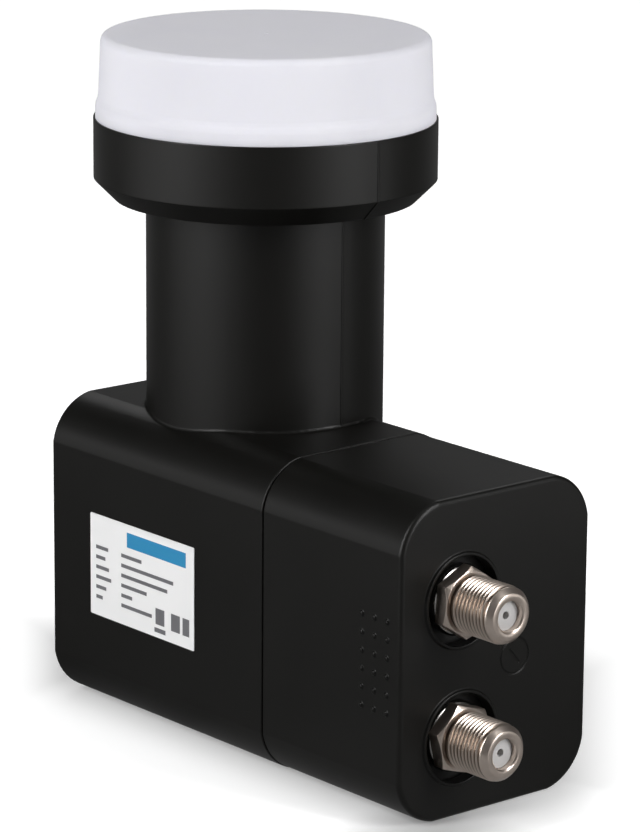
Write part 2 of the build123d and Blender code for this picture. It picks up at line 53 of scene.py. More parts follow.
# Camera, standing where the photograph was taken from
cameraSetup = {
    "azimuth": 49.934,  # degrees, from the label side round towards the outlets
    "elevation": 14.284,
    "roll": 0.461,
    "distance": 690.338,  # mm
    "aimSideways": 9.373,  # from the feed axis, to the picture's right
    "aimHeight": 50.95,
    "lens": 176.47,
    "sensor": 36.0,
    "clipEnd": 20.0,  # m
}


def pointing(azimuth, elevation=0.0):
    turn, lift = math.radians(azimuth), math.radians(elevation)
    flat = math.cos(lift)
    return Vector((math.sin(turn) * flat, -math.cos(turn) * flat, math.sin(lift)))


def placeCamera(setup):
    azimuth, roll = math.radians(setup["azimuth"]), math.radians(setup["roll"])
    back = pointing(setup["azimuth"], setup["elevation"])
    right = Vector((math.cos(azimuth), math.sin(azimuth), 0))
    up = back.cross(right)
    leanRight = right * math.cos(roll) + up * math.sin(roll)
    leanUp = up * math.cos(roll) - right * math.sin(roll)
    aim = right * setup["aimSideways"] * mm + Vector((0, 0, setup["aimHeight"] * mm))
    bpy.ops.object.camera_add(location=aim + back * setup["distance"] * mm)
    camera = bpy.context.object
    camera.name = "studioCamera"
    camera.rotation_euler = Matrix((leanRight, leanUp, back)).transposed().to_euler()
    camera.data.sensor_fit = "VERTICAL"
    camera.data.sensor_height = setup["sensor"]
    camera.data.lens = setup["lens"]
    camera.data.clip_end = setup["clipEnd"]
    bpy.context.scene.camera = camera


placeCamera(cameraSetup)
print("camera placed")


# Shader helpers
def newMaterial(name):
    material = bpy.data.materials.new(name)
    material.use_nodes = True
    tree = material.node_tree
    tree.nodes.clear()
    shader = tree.nodes.new("ShaderNodeBsdfPrincipled")
    output = tree.nodes.new("ShaderNodeOutputMaterial")
    tree.links.new(shader.outputs["BSDF"], output.inputs["Surface"])
    return material, tree, shader


def findNode(tree, kind):
    return next(node for node in tree.nodes if node.type == kind)


def addNode(tree, kind, **settings):
    node = tree.nodes.new(kind)
    for key, value in settings.items():
        setattr(node, key, value)
    return node


def feed(tree, source, target):
    tree.links.new(source, target)


def fill(tree, socket, value):
    if isinstance(value, bpy.types.NodeSocket):
        feed(tree, value, socket)
    else:
        socket.default_value = value


def math2(tree, operation, first, second):
    node = addNode(tree, "ShaderNodeMath", operation=operation)
    fill(tree, node.inputs[0], first)
    fill(tree, node.inputs[1], second)
    return node.outputs[0]


def vector2(tree, operation, first, second):
    node = addNode(tree, "ShaderNodeVectorMath", operation=operation)
    fill(tree, node.inputs[0], first)
    fill(tree, node.inputs[1], second)
    return node.outputs["Value" if operation == "DOT_PRODUCT" else "Vector"]


def vectorLength(tree, vector):
    node = addNode(tree, "ShaderNodeVectorMath", operation="LENGTH")
    feed(tree, vector, node.inputs[0])
    return node.outputs["Value"]


def objectPlace(tree):
    return addNode(tree, "ShaderNodeTexCoord").outputs["Object"]


def splitAxes(tree, vector):
    node = addNode(tree, "ShaderNodeSeparateXYZ")
    feed(tree, vector, node.inputs["Vector"])
    return node.outputs


def spread(tree, value, low, high):
    node = addNode(tree, "ShaderNodeMapRange")
    feed(tree, value, node.inputs["Value"])
    node.inputs["To Min"].default_value = low
    node.inputs["To Max"].default_value = high
    return node.outputs["Result"]


def ramp(tree, value, start, end, low=0.0, high=1.0):
    node = addNode(tree, "ShaderNodeMapRange", interpolation_type="SMOOTHSTEP")
    feed(tree, value, node.inputs["Value"])
    for label, limit in (("From Min", start), ("From Max", end), ("To Min", low), ("To Max", high)):
        node.inputs[label].default_value = limit
    return node.outputs["Result"]


def blendColours(tree, factor, first, second):
    node = addNode(tree, "ShaderNodeMix", data_type="RGBA")
    feed(tree, factor, node.inputs["Factor"])
    for socket, colour in ((node.inputs[6], first), (node.inputs[7], second)):  # A and B as colours
        fill(tree, socket, (*colour, 1) if isinstance(colour, tuple) else colour)
    return node.outputs[2]


def bumpFrom(tree, shader, height, distance):
    node = addNode(tree, "ShaderNodeBump")
    node.inputs["Distance"].default_value = distance
    feed(tree, height, node.inputs["Height"])
    feed(tree, node.outputs["Normal"], shader.inputs["Normal"])
    return node


def newGroup(name, inputs, outputs):
    group = bpy.data.node_groups.new(name, "ShaderNodeTree")
    for label, value in inputs.items():
        socket = group.interface.new_socket(label, in_out="INPUT", socket_type="NodeSocketFloat")
        socket.default_value = value
    for label in outputs:
        group.interface.new_socket(label, in_out="OUTPUT", socket_type="NodeSocketFloat")
    return group, group.nodes.new("NodeGroupInput"), group.nodes.new("NodeGroupOutput")


def placeGroup(tree, group, **values):
    node = addNode(tree, "ShaderNodeGroup", node_tree=group)
    for label, value in values.items():
        node.inputs[label].default_value = value
    return node


def addNoise(tree, place, scale, detail):
    node = addNode(tree, "ShaderNodeTexNoise")
    node.inputs["Detail"].default_value = detail
    feed(tree, place, node.inputs["Vector"])
    feed(tree, scale, node.inputs["Scale"])
    return node.outputs["Fac"]


# Moulded or cast surface: fine grain, slow unevenness and cloudy patches
grainSetup = {
    "usual": {"grainScale": 2600.0, "waveScale": 55.0, "grainShare": 0.35},
    "fineDetail": 3.0,
    "slowDetail": 2.0,
}


def makeSurfaceGrain(setup):
    group, given, result = newGroup("surfaceGrain", setup["usual"], ("height", "patches", "grain"))
    place = objectPlace(group)
    fine = addNoise(group, place, given.outputs["grainScale"], setup["fineDetail"])
    slow = addNoise(group, place, given.outputs["waveScale"], setup["slowDetail"])
    grained = math2(group, "MULTIPLY", fine, given.outputs["grainShare"])
    feed(group, math2(group, "ADD", grained, slow), result.inputs["height"])
    feed(group, slow, result.inputs["patches"])
    feed(group, fine, result.inputs["grain"])
    return group


surfaceGrain = makeSurfaceGrain(grainSetup)


# Turned or drawn metal: fine marks, drawn out across the outlets' own direction
markSetup = {
    "usual": {"markScale": 9000.0},
    "stretch": (1.0, 0.02, 0.02),
    "detail": 4.0,
}


def makeToolMarks(setup):
    group, given, result = newGroup("toolMarks", setup["usual"], ("marks",))
    stretch = addNode(group, "ShaderNodeMapping")
    stretch.inputs["Scale"].default_value = setup["stretch"]
    feed(group, objectPlace(group), stretch.inputs["Vector"])
    marks = addNoise(group, stretch.outputs["Vector"], given.outputs["markScale"], setup["detail"])
    feed(group, marks, result.inputs["marks"])
    return group


toolMarks = makeToolMarks(markSetup)


# Black satin moulding of the housing and the weather cover
blackPlasticLook = {
    "dark": (0.0038, 0.0036, 0.003),
    "light": (0.0055, 0.0052, 0.0044),
    "grain": {"grainScale": 2600.0, "waveScale": 55.0, "grainShare": 0.3},
    "roughness": (0.36, 0.44),
    "gloss": 0.3,
    "bump": 0.00003,
    "edgeRound": 0.3,  # mm, in the shading only
    "edgeSamples": 8,
}


def makeBlackPlastic(look):
    material, tree, shader = newMaterial("blackPlastic")
    grain = placeGroup(tree, surfaceGrain, **look["grain"])
    colour = blendColours(tree, grain.outputs["patches"], look["dark"], look["light"])
    feed(tree, colour, shader.inputs["Base Color"])
    feed(tree, spread(tree, grain.outputs["patches"], *look["roughness"]), shader.inputs["Roughness"])
    shader.inputs["Specular IOR Level"].default_value = look["gloss"]
    bump = bumpFrom(tree, shader, grain.outputs["height"], look["bump"])
    rounded = addNode(tree, "ShaderNodeBevel", samples=look["edgeSamples"])
    rounded.inputs["Radius"].default_value = look["edgeRound"] * mm
    feed(tree, rounded.outputs["Normal"], bump.inputs["Normal"])
    return material


# Milky plastic of the feed cap
milkyPlasticLook = {
    "thin": (0.85, 0.846, 0.905),
    "thick": (0.81, 0.804, 0.885),
    "grain": {"grainScale": 1800.0, "waveScale": 70.0, "grainShare": 0.25},
    "roughness": (0.5, 0.58),
    "gloss": 0.3,
    "glow": 0.25,
    "glowReach": (0.004, 0.004, 0.0045),  # m, for red, green and blue
    "glowScale": 1.0,
    "bump": 0.00002,
}


def makeMilkyPlastic(look):
    material, tree, shader = newMaterial("milkyPlastic")
    grain = placeGroup(tree, surfaceGrain, **look["grain"])
    colour = blendColours(tree, grain.outputs["patches"], look["thin"], look["thick"])
    feed(tree, colour, shader.inputs["Base Color"])
    feed(tree, spread(tree, grain.outputs["grain"], *look["roughness"]), shader.inputs["Roughness"])
    shader.inputs["Specular IOR Level"].default_value = look["gloss"]
    shader.inputs["Subsurface Weight"].default_value = look["glow"]
    shader.inputs["Subsurface Radius"].default_value = look["glowReach"]
    shader.inputs["Subsurface Scale"].default_value = look["glowScale"]
    bumpFrom(tree, shader, grain.outputs["height"], look["bump"])
    return material


# Bare and plated metals share one recipe
metalGrain = {"grainScale": 5200.0, "waveScale": 420.0, "grainShare": 0.5}
metalLooks = {
    "nickelPlate": {
        "dull": (0.65, 0.55, 0.48),
        "bright": (0.82, 0.715, 0.635),
        "roughness": (0.25, 0.35),
        "bump": 0.000001,
        "metal": 0.93,
    },
    "platedSteel": {
        "dull": (0.4, 0.39, 0.375),
        "bright": (0.52, 0.51, 0.49),
        "roughness": (0.26, 0.4),
        "bump": 0.000005,
        "metal": 1.0,
    },
    "dieCast": {
        "dull": (0.42, 0.42, 0.43),
        "bright": (0.6, 0.6, 0.61),
        "roughness": (0.42, 0.6),
        "bump": 0.00003,
        "metal": 1.0,
    },
    "contactBrass": {
        "dull": (0.5, 0.36, 0.16),
        "bright": (0.72, 0.55, 0.28),
        "roughness": (0.22, 0.36),
        "bump": 0.000005,
        "metal": 1.0,
    },
}


def makeMetal(name, look):
    material, tree, shader = newMaterial(name)
    grain = placeGroup(tree, surfaceGrain, **metalGrain)
    marks = placeGroup(tree, toolMarks)
    colour = blendColours(tree, grain.outputs["patches"], look["dull"], look["bright"])
    feed(tree, colour, shader.inputs["Base Color"])
    feed(tree, spread(tree, marks.outputs["marks"], *look["roughness"]), shader.inputs["Roughness"])
    shader.inputs["Metallic"].default_value = look["metal"]
    height = math2(tree, "ADD", grain.outputs["height"], marks.outputs["marks"])
    bumpFrom(tree, shader, height, look["bump"])
    return material


# Plain moulded or laminated pieces share another recipe
plainGrain = {"grainScale": 3200.0, "waveScale": 260.0, "grainShare": 0.4}
plainLooks = {
    "sealRubber": {
        "dark": (0.012, 0.012, 0.012),
        "light": (0.022, 0.022, 0.022),
        "roughness": (0.62, 0.78),
        "bump": 0.00003,
    },
    "boardLaminate": {
        "dark": (0.02, 0.13, 0.06),
        "light": (0.04, 0.2, 0.1),
        "roughness": (0.32, 0.46),
        "bump": 0.00001,
    },
    "chipResin": {
        "dark": (0.012, 0.012, 0.013),
        "light": (0.022, 0.022, 0.024),
        "roughness": (0.5, 0.62),
        "bump": 0.00001,
    },
    "whiteInsulator": {
        "dark": (0.5, 0.49, 0.485),
        "light": (0.58, 0.57, 0.565),
        "roughness": (0.32, 0.44),
        "bump": 0.000006,
    },
}


def makePlain(name, look):
    material, tree, shader = newMaterial(name)
    grain = placeGroup(tree, surfaceGrain, **plainGrain)
    colour = blendColours(tree, grain.outputs["patches"], look["dark"], look["light"])
    feed(tree, colour, shader.inputs["Base Color"])
    feed(tree, spread(tree, grain.outputs["grain"], *look["roughness"]), shader.inputs["Roughness"])
    bumpFrom(tree, shader, grain.outputs["height"], look["bump"])
    return material


# Rating label: white film with plain printed bars and blocks
labelLook = {
    "film": (0.95, 0.95, 0.95),
    "filmShade": (0.91, 0.91, 0.91),
    "ink": (0.16, 0.16, 0.17),
    "accent": (0.025, 0.27, 0.52),
    "grain": {"grainScale": 2400.0, "waveScale": 120.0, "grainShare": 0.4},
    "roughness": (0.3, 0.4),
    "bump": 0.00001,
    # A field's middle along and up, half length and half height, in mm from the label's middle
    "accentBar": (4.0, 6.2, 8.0, 1.3),
    "blocks": (
        (5.0, -5.2, 1.2, 1.4),
        (5.0, -7.6, 1.5, 0.4),
        (9.2, -5.3, 1.2, 1.5),
        (12.0, -5.3, 0.9, 1.5),
    ),
    "rowsFrom": 3.2,
    "rowPitch": 1.75,
    "rowHalfHeight": 0.32,
    "shortStart": -12.6,
    "shortLengths": (3.4, 2.6, 3.6, 4.2, 2.8, 1.8),
    "longStart": -5.6,
    "longLengths": (5.6, 14.2, 12.6, 7.0, 3.0, 8.4),
}
fieldSizes = {"middleAlong": 0.0, "middleUp": 0.0, "halfLength": 1.0, "halfHeight": 1.0}


def makePrintField():
    group, given, result = newGroup("printField", {"along": 0.0, "up": 0.0, **fieldSizes}, ("inked",))
    inside = []
    for place, middle, half in (("along", "middleAlong", "halfLength"), ("up", "middleUp", "halfHeight")):
        away = math2(group, "SUBTRACT", given.outputs[place], given.outputs[middle])
        away = math2(group, "ABSOLUTE", away, 0.0)
        inside.append(math2(group, "LESS_THAN", away, given.outputs[half]))
    feed(group, math2(group, "MULTIPLY", *inside), result.inputs["inked"])
    return group


def labelFields(look):
    fields = []
    for row, (short, long) in enumerate(zip(look["shortLengths"], look["longLengths"])):
        up = look["rowsFrom"] - row * look["rowPitch"]
        fields.append((look["shortStart"] + short / 2, up, short / 2, look["rowHalfHeight"]))
        fields.append((look["longStart"] + long / 2, up, long / 2, look["rowHalfHeight"]))
    fields.extend(look["blocks"])
    return fields


def makeLabelFilm(look, node):
    material, tree, shader = newMaterial("labelFilm")
    printField = makePrintField()
    low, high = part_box(node)
    centre = addNode(tree, "ShaderNodeMapping", vector_type="TEXTURE")
    centre.inputs["Location"].default_value = (low + high) / 2
    centre.inputs["Scale"].default_value = (mm, mm, mm)
    feed(tree, objectPlace(tree), centre.inputs["Vector"])
    axes = splitAxes(tree, centre.outputs["Vector"])

    def fieldMask(field):
        printed = placeGroup(tree, printField, **dict(zip(fieldSizes, field)))
        feed(tree, axes["X"], printed.inputs["along"])
        feed(tree, axes["Z"], printed.inputs["up"])
        return printed.outputs["inked"]

    inked = None
    for field in labelFields(look):
        mask = fieldMask(field)
        inked = mask if inked is None else math2(tree, "MAXIMUM", inked, mask)
    grain = placeGroup(tree, surfaceGrain, **look["grain"])
    colour = blendColours(tree, grain.outputs["patches"], look["filmShade"], look["film"])
    colour = blendColours(tree, inked, colour, look["ink"])
    colour = blendColours(tree, fieldMask(look["accentBar"]), colour, look["accent"])
    feed(tree, colour, shader.inputs["Base Color"])
    feed(tree, spread(tree, grain.outputs["grain"], *look["roughness"]), shader.inputs["Roughness"])
    bumpFrom(tree, shader, grain.outputs["height"], look["bump"])
    return material


# Die-cast chassis, its sealing plate black and not metallic on the outlets' side
chassisLook = {
    "metal": metalLooks["dieCast"],
    "frontBlack": blackPlasticLook["light"],
    "blackReach": 3.3,  # mm back from the front of the upper seat
}


def makeChassisFinish(look, node):
    material = makeMetal("blackFrontDieCast", look["metal"])
    tree = material.node_tree
    shader = findNode(tree, "BSDF_PRINCIPLED")
    bare = shader.inputs["Base Color"].links[0].from_socket
    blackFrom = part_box(node)[1].x - look["blackReach"] * mm
    # black, non-metal colour in front of this point on the outlets' side
    blackFront = math2(tree, "GREATER_THAN", splitAxes(tree, objectPlace(tree))["X"], blackFrom)
    feed(tree, blendColours(tree, blackFront, bare, look["frontBlack"]), shader.inputs["Base Color"])
    feed(tree, math2(tree, "SUBTRACT", 1.0, blackFront), shader.inputs["Metallic"])
    return material


# How far a point is from an outlet's axis
def offAxis(tree, node):
    low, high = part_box(node)
    fromMiddle = vector2(tree, "SUBTRACT", objectPlace(tree), (low + high) / 2)
    return vectorLength(tree, vector2(tree, "MULTIPLY", fromMiddle, (0, 1, 1)))


# Dished spring washers: flat rings whose shading leans outward, as on a bowed washer
washerLook = {
    "dull": (0.3, 0.293, 0.282),
    "bright": (0.42, 0.41, 0.395),
    "roughness": (0.2, 0.3),
    "bump": 0.000001,
    "metal": 1.0,
    "lean": 25.0,  # degrees
}


def makeWasherFinish(name, look, node):
    material = makeMetal(name, look)
    tree = material.node_tree
    lean = addNode(tree, "ShaderNodeBump", invert=True)
    lean.inputs["Distance"].default_value = math.tan(math.radians(look["lean"]))
    feed(tree, offAxis(tree, node), lean.inputs["Height"])
    feed(tree, lean.outputs["Normal"], findNode(tree, "BSDF_PRINCIPLED").inputs["Normal"])
    return material


# Outlets' plating, with painted shade darkening it down in the thread's grooves
grooveShadeLook = {
    # colour of the painted shade in the grooves
    "colour": (0.19, 0.15, 0.12),
    "from": 4.68,  # mm from the outlet's axis
    "to": 4.34,
    # the nose is kept clear of the painted groove shade
    "nose": 1.3,  # mm from the tip that stay bright
}


def makeOutletPlatingAndShade(name, look, groove, node):
    material = makeMetal(name, look)
    tree = material.node_tree
    shader = findNode(tree, "BSDF_PRINCIPLED")
    plated = shader.inputs["Base Color"].links[0].from_socket
    grooveShade = ramp(tree, offAxis(tree, node), groove["from"] * mm, groove["to"] * mm)
    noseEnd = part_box(node)[1].x - groove["nose"] * mm
    behind = math2(tree, "LESS_THAN", splitAxes(tree, objectPlace(tree))["X"], noseEnd)
    # painted shade: darker base colour down in the thread, behind the nose
    dark = math2(tree, "MULTIPLY", grooveShade, behind)
    feed(tree, blendColours(tree, dark, plated, groove["colour"]), shader.inputs["Base Color"])
    return material


# Every node gets the finish of its material slot
metalSlots = {
    "nickel_plate": "nickelPlate",
    "steel": "platedSteel",
    "die_cast": "dieCast",
    "contact_brass": "contactBrass",
}
plainSlots = {
    "seal_rubber": "sealRubber",
    "board_laminate": "boardLaminate",
    "chip_resin": "chipResin",
    "white_insulator": "whiteInsulator",
}
finishes = {
    "black_plastic": makeBlackPlastic(blackPlasticLook),
    "milky_plastic": makeMilkyPlastic(milkyPlasticLook),
    "label_film": makeLabelFilm(labelLook, "rating_label"),
}
for slot, name in metalSlots.items():
    finishes[slot] = makeMetal(name, metalLooks[name])
for slot, name in plainSlots.items():
    finishes[slot] = makePlain(name, plainLooks[name])
for subpart in frame["record"]["subparts"]:
    mesh = nodes[subpart["node"]].data
    mesh.materials.clear()
    mesh.materials.append(finishes[subpart["material_slot"]])
nodes["chassis"].data.materials[0] = makeChassisFinish(chassisLook, "chassis")
for side in ("upper", "lower"):
    washer = side + "_lock_washer"
    nodes[washer].data.materials[0] = makeWasherFinish(side + "Washer", washerLook, washer)


# Modelling helpers
tolerances = {  # mm
    "weld": 0.0005,
    "cut": 0.00001,
    "level": 0.001,
}


def activate(piece):
    bpy.ops.object.select_all(action="DESELECT")
    piece.select_set(True)
    bpy.context.view_layer.objects.active = piece


def applyModifier(piece, kind, **settings):
    activate(piece)
    modifier = piece.modifiers.new(kind.lower(), kind)
    for key, value in settings.items():
        setattr(modifier, key, value)
    bpy.ops.object.modifier_apply(modifier=modifier.name)


def combine(piece, other, operation):
    applyModifier(piece, "BOOLEAN", object=other, operation=operation, solver="EXACT")
    bpy.data.objects.remove(other, do_unlink=True)


def drawOutline(name, points):
    bpy.ops.object.select_all(action="DESELECT")
    bpy.ops.mesh.primitive_plane_add(size=mm, location=(0, 0, 0))
    piece = bpy.context.object
    piece.name = name
    bpy.ops.object.mode_set(mode="EDIT")
    bpy.ops.mesh.select_mode(type="VERT")
    bpy.ops.mesh.select_all(action="SELECT")
    bpy.ops.mesh.merge(type="CENTER")
    bpy.ops.transform.translate(value=Vector((points[0][0], 0, points[0][1])) * mm)
    for (radius, height), (nextRadius, nextHeight) in zip(points, points[1:]):
        step = Vector((nextRadius - radius, 0, nextHeight - height)) * mm
        bpy.ops.mesh.extrude_region_move(TRANSFORM_OT_translate={"value": step})
    bpy.ops.object.mode_set(mode="OBJECT")
    return piece


def carryRim(piece, rings):
    for radius, height in rings:
        bpy.ops.mesh.extrude_region_move()
        shape = bmesh.from_edit_mesh(piece.data)
        for vertex in shape.verts:
            if vertex.select:
                outward = Vector((vertex.co.x, vertex.co.y, 0)).normalized()
                vertex.co = outward * radius * mm + Vector((0, 0, height * mm))
        bmesh.update_edit_mesh(piece.data)


def pickOpenRims(piece, heights):
    bpy.ops.mesh.select_all(action="DESELECT")
    shape = bmesh.from_edit_mesh(piece.data)
    for edge in shape.edges:
        levels = [vertex.co.z / mm for vertex in edge.verts]
        for height in heights:
            if edge.is_boundary and all(abs(z - height) < tolerances["level"] for z in levels):
                edge.select_set(True)
    bmesh.update_edit_mesh(piece.data)


def cutAcross(piece, height, **cleared):
    bpy.ops.mesh.select_all(action="SELECT")
    bpy.ops.mesh.bisect(
        plane_co=(0, 0, height * mm), plane_no=(0, 0, 1), threshold=tolerances["cut"] * mm, **cleared
    )
    pickOpenRims(piece, (height,))


# Threaded F outlets: screwed thread, turned nose and chamfered hex, with the axis upright until placed
outletLook = {
    "reach": 9.2,  # mm, hex front to tip
    "pitch": 25.4 / 32,  # 3/8-32 thread
    "crest": 4.74,
    "root": 4.3,
    "crestHalf": 0.06,
    "rootHalf": 0.09,
    "turnSteps": 60,
    "leadTurns": 1.537,  # wound before the thread's start, and cut off
    "spareTurns": 3,
    "threadFrom": 0.45,  # heights are measured from the hex's front
    "threadTo": 7.75,
    "backRunOut": 0.12,
    "frontRunOut": 0.08,
    "lip": 4.58,
    "lipFrom": 7.98,
    "noseFrom": 8.3,
    "face": 3.74,
    "edgeBreak": 0.06,
    "mouth": 2.75,
    "bore": 2.5,
    "boreJoinHalf": 0.5,
    "stub": 4.0,
    "rootEnd": -0.5,
    "stubFrom": -0.6,
    "hexFlats": 10.4,
    "hexHeight": 2.45,
    "hexChamfer": 30.0,  # degrees
    "hexFaceShare": 0.49,  # radius of the flat front, as a share of the flats
    "hexRoundSteps": 120,
    "hexHole": 3.4,
    "hexHoleSteps": 64,
    "hexEase": 0.07,
    "hexEaseSteps": 2,
    "hexEaseAngle": 24.0,
    "smoothAngle": 38.0,
    "normalWeight": 80,
}


def makeThread(name, look):
    pitch, root, crest = look["pitch"], look["root"], look["crest"]
    outline = [
        (root, 0),
        (root, look["rootHalf"]),
        (crest, pitch / 2 - look["crestHalf"]),
        (crest, pitch / 2 + look["crestHalf"]),
        (root, pitch - look["rootHalf"]),
        (root, pitch),
    ]
    piece = drawOutline(name, outline)
    piece.location.z = (look["threadFrom"] - look["leadTurns"] * pitch) * mm
    activate(piece)
    bpy.ops.object.transform_apply(location=True, rotation=False, scale=False)
    turns = math.ceil((look["threadTo"] - look["threadFrom"]) / pitch) + look["spareTurns"]
    applyModifier(
        piece,
        "SCREW",
        steps=look["turnSteps"],
        render_steps=look["turnSteps"],
        iterations=turns,
        screw_offset=pitch * mm,
    )
    return piece


def makeBarrel(name, look, tip, back):
    piece = makeThread(name, look)
    bpy.ops.object.mode_set(mode="EDIT")
    bpy.ops.mesh.select_mode(type="EDGE")
    bpy.ops.mesh.select_all(action="SELECT")
    bpy.ops.mesh.remove_doubles(threshold=tolerances["weld"] * mm)
    cutAcross(piece, look["threadFrom"], clear_inner=True)
    boreMiddle = (tip + back) / 2
    joinBack, joinFront = boreMiddle - look["boreJoinHalf"], boreMiddle + look["boreJoinHalf"]
    ease = look["edgeBreak"]
    carryRim(piece, [
        (look["root"], look["threadFrom"] - look["backRunOut"]),
        (look["root"], look["rootEnd"]),
        (look["stub"], look["stubFrom"]),
        (look["stub"], back),
        (look["bore"], back),
        (look["bore"], joinBack),
    ])
    cutAcross(piece, look["threadTo"], clear_outer=True)
    carryRim(piece, [
        (look["root"], look["threadTo"] + look["frontRunOut"]),
        (look["root"], look["lipFrom"] - ease),
        (look["lip"] - ease, look["lipFrom"]),
        (look["lip"], look["lipFrom"] + ease),
        (look["lip"], look["noseFrom"] - ease),
        (look["lip"] - ease, look["noseFrom"] + ease),
        (look["face"] + ease, tip - ease),
        (look["face"] - ease, tip),
        (look["mouth"] + ease, tip),
        (look["mouth"] - ease, tip - ease),
        (look["bore"], tip - look["mouth"] + look["bore"]),
        (look["bore"], joinFront),
    ])
    pickOpenRims(piece, (joinBack, joinFront))
    bpy.ops.mesh.bridge_edge_loops()
    bpy.ops.mesh.select_all(action="SELECT")
    bpy.ops.mesh.normals_make_consistent(inside=False)
    bpy.ops.object.mode_set(mode="OBJECT")
    return piece


def makeHex(look, turn):
    height, flats = look["hexHeight"], look["hexFlats"]
    bpy.ops.object.select_all(action="DESELECT")
    bpy.ops.mesh.primitive_cylinder_add(
        vertices=6, radius=flats / 3**0.5 * mm, depth=height * mm, location=(0, 0, -height / 2 * mm)
    )
    piece = bpy.context.object
    first = piece.data.vertices[0].co
    piece.rotation_euler.z = turn - math.atan2(first.y, first.x)
    activate(piece)
    bpy.ops.object.transform_apply(location=True, rotation=True, scale=False)
    slope = math.tan(math.radians(look["hexChamfer"]))
    faceRadius = flats * look["hexFaceShare"]
    coneDepth = 2 * height  # reaches past the hex's back
    bpy.ops.object.select_all(action="DESELECT")
    bpy.ops.mesh.primitive_cone_add(
        vertices=look["hexRoundSteps"],
        radius1=(faceRadius + coneDepth / slope) * mm,
        radius2=faceRadius * mm,
        depth=coneDepth * mm,
        location=(0, 0, -coneDepth / 2 * mm),
    )
    combine(piece, bpy.context.object, "INTERSECT")
    drillDepth = 4 * height  # reaches past both faces
    bpy.ops.object.select_all(action="DESELECT")
    bpy.ops.mesh.primitive_cylinder_add(
        vertices=look["hexHoleSteps"], radius=look["hexHole"] * mm, depth=drillDepth * mm
    )
    combine(piece, bpy.context.object, "DIFFERENCE")
    applyModifier(
        piece,
        "BEVEL",
        width=look["hexEase"] * mm,
        segments=look["hexEaseSteps"],
        limit_method="ANGLE",
        angle_limit=math.radians(look["hexEaseAngle"]),
    )
    return piece


def makeOutlet(name, look, node):
    low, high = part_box(node)
    axis = (low + high) / 2
    hexFront = high.x / mm - look["reach"]
    far = max(nodes[node].data.vertices, key=lambda v: Vector((v.co.y - axis.y, v.co.z - axis.z)).length)
    turn = math.atan2(far.co.z - axis.z, far.co.y - axis.y) + math.pi / 2
    piece = makeBarrel(name, look, look["reach"], low.x / mm - hexFront)
    combine(piece, makeHex(look, turn), "UNION")
    piece.location = (hexFront * mm, axis.y, axis.z)
    piece.rotation_euler = (0, math.pi / 2, 0)
    activate(piece)
    bpy.ops.object.transform_apply(location=True, rotation=True, scale=True)
    bpy.ops.object.shade_smooth_by_angle(angle=math.radians(look["smoothAngle"]))
    applyModifier(piece, "WEIGHTED_NORMAL", keep_sharp=True, weight=look["normalWeight"])
    plating = makeOutletPlatingAndShade(name + "PlatingAndGrooveShade", metalLooks["nickelPlate"], grooveShadeLook, node)
    piece.data.materials.clear()
    piece.data.materials.append(plating)
    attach(piece, "body")
    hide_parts(node)
    return piece


for side in ("upper", "lower"):
    shell = makeOutlet(side + "ThreadedOutlet", outletLook, side + "_connector_shell")
    print(shell.name, "has", len(shell.data.polygons), "faces")


# Studio: pale floor with a painted soft shadow round the part, a glowing card that paints the reflections,
# soft boxes and a dim sky
studio = {
    "floorSize": 6.0,  # sizes in the studio are in m, and its shades in mm
    # floor colour, darkened towards the first value inside the painted shadow round the part
    "floorGrey": (0.65, 0.86),  # in the deepest shade, and clear of it
    "floorLift": 0.633,  # what camera, gloss and glass see added, clear of the shade
    # The painted shadow: a soft-edged patch round the part where the floor's colour and lift are lowered
    "shadeEdges": (
        # degrees from +X, mm from the feed axis, steepness
        (-90.0, 17.3, 1.0),
        (0.0, 59.4, 1.0),
        (46.4, 50.2, 1.14),
        (233.7, 33.4, 1.57),
        (90.0, 45.0, 0.6),
        (180.0, 45.0, 0.6),
    ),
    "shadeDepth": 0.3,  # share of the floor's lift left under the object
    "shadeReach": (-9.1, 15.8),  # mm inside and outside the edges
    # a deeper painted shadow spot by the outlets' corner
    "cornerShade": (67.9, -21.0),  # mm, the middle of a darker spot by the outlets' corner
    "cornerReach": (15.1, 34.0),
    "skyLow": 0.14,
    "skyHigh": 0.32,
    "skyRise": 0.7,  # height at which the sky is brightest, where straight up is 1
    # the card glows and is seen only by glossy rays, so it paints the reflections, with pools of painted
    # highlight
    "cardLift": 0.0002,  # grey card on the floor, seen in gloss only
    "paintedReflectionGrey": 0.09,
    "poolFrom": (0.25, 0.31),  # pools of light on the card begin this far from the feed axis
    "pools": (
        # degrees left (-) or right (+) of the camera, reach in degrees, brightness near and far
        (-58.0, 48.0, 0.06, 1.35),
        (57.0, 37.0, 0.04, 1.55),
        (10.0, 50.0, 0.12, 0.0),
        (180.0, 75.0, 0.0, 0.12),
    ),
    "boxes": (
        # name, degrees left (-) or right (+) of the camera, degrees up, distance, width, height, brightness
        ("softBoxLeft", -57.0, 26.0, 1.3, 0.28, 1.0, 10.5),
        ("softBoxRight", 58.0, 26.0, 1.3, 0.3, 1.0, 10.0),
        ("fillLeft", -97.0, 9.0, 1.4, 0.9, 0.25, 1.2),
        ("fillBehind", 180.0, 42.0, 1.8, 1.4, 0.8, 1.2),
        ("fillTop", 0.0, 86.0, 1.4, 0.7, 0.7, 0.45),
    ),
    "boxPower": 4.0,  # watts per square metre of a box at brightness 1
}


